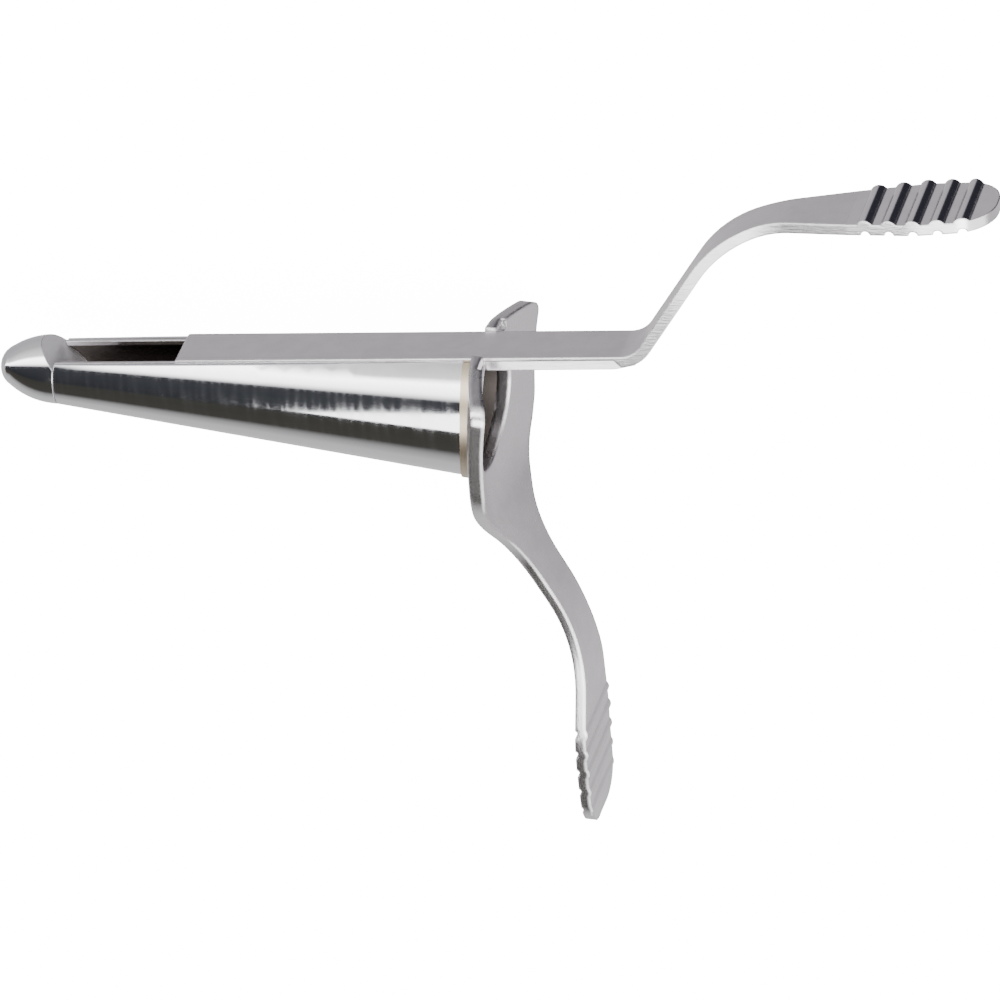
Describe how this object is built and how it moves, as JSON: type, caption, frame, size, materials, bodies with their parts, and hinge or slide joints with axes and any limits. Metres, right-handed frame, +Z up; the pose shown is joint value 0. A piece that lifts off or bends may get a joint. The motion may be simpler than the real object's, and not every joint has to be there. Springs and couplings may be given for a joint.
{
  "type": "anal speculum",
  "caption": "Tapered, closed-nose anal speculum: slotted barrel with a dished flange and handle, and a long sliding bar with its own handle that closes the slot.",
  "frame": {"origin": "centre of the barrel's mouth, at the back face of the flange", "axes": "the instrument lies on its side: +X along the slide towards the user, +Y from the barrel to the slide, +Z up"},
  "size_m": [0.2116, 0.1407, 0.0488],
  "materials": {
    "polished_steel": "mirror-polished stainless steel with faint draw lines",
    "satin_steel": "glass-bead satin stainless steel on the broad faces, polished on the narrow edges",
    "braze": "dull grey-brown silver braze"
  },
  "bodies": {
    "barrel_assembly": {"barrel": "polished_steel", "nose": "polished_steel", "upper_guide_rail": "satin_steel", "lower_guide_rail": "satin_steel", "mouth_braze": "braze", "flange_handle": "satin_steel"},
    "slide_assembly": {"slide_blade": "satin_steel", "slide_runner": "satin_steel"}
  },
  "joints": [
    {"name": "slide_travel", "type": "slide", "parent": "barrel_assembly", "child": "slide_assembly", "axis": [1, 0, 0], "range_m": [-0.0266, 0.055]}
  ]
}
